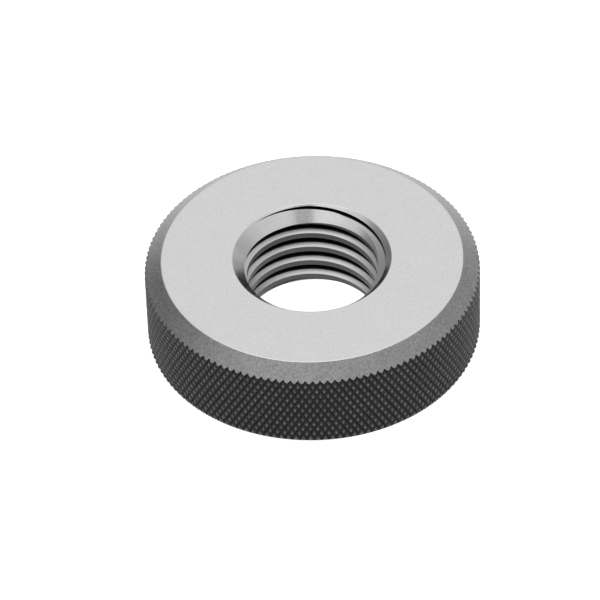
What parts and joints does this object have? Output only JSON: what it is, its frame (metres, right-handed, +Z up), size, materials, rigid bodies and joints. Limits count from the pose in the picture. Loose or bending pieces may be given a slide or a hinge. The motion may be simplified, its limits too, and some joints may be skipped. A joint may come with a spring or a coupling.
{
  "type": "thread ring gauge",
  "caption": "Solid steel ring gauge with an internal screw thread, countersunk bore ends, ground flat faces, chamfered edges and a knurled rim for gripping by hand.",
  "frame": {"origin": "on the ring's axis, in the lower ground face that it rests on", "axes": "+Z up along the axis of the ring and its thread, towards the upper face"},
  "size_m": [0.045, 0.045, 0.014],
  "materials": {
    "hardened_steel": "hardened steel: ground faces, matt chamfers, dark knurled rim and bright thread flanks"
  },
  "bodies": {
    "root": {"gauge_ring": "hardened_steel"}
  },
  "joints": []
}
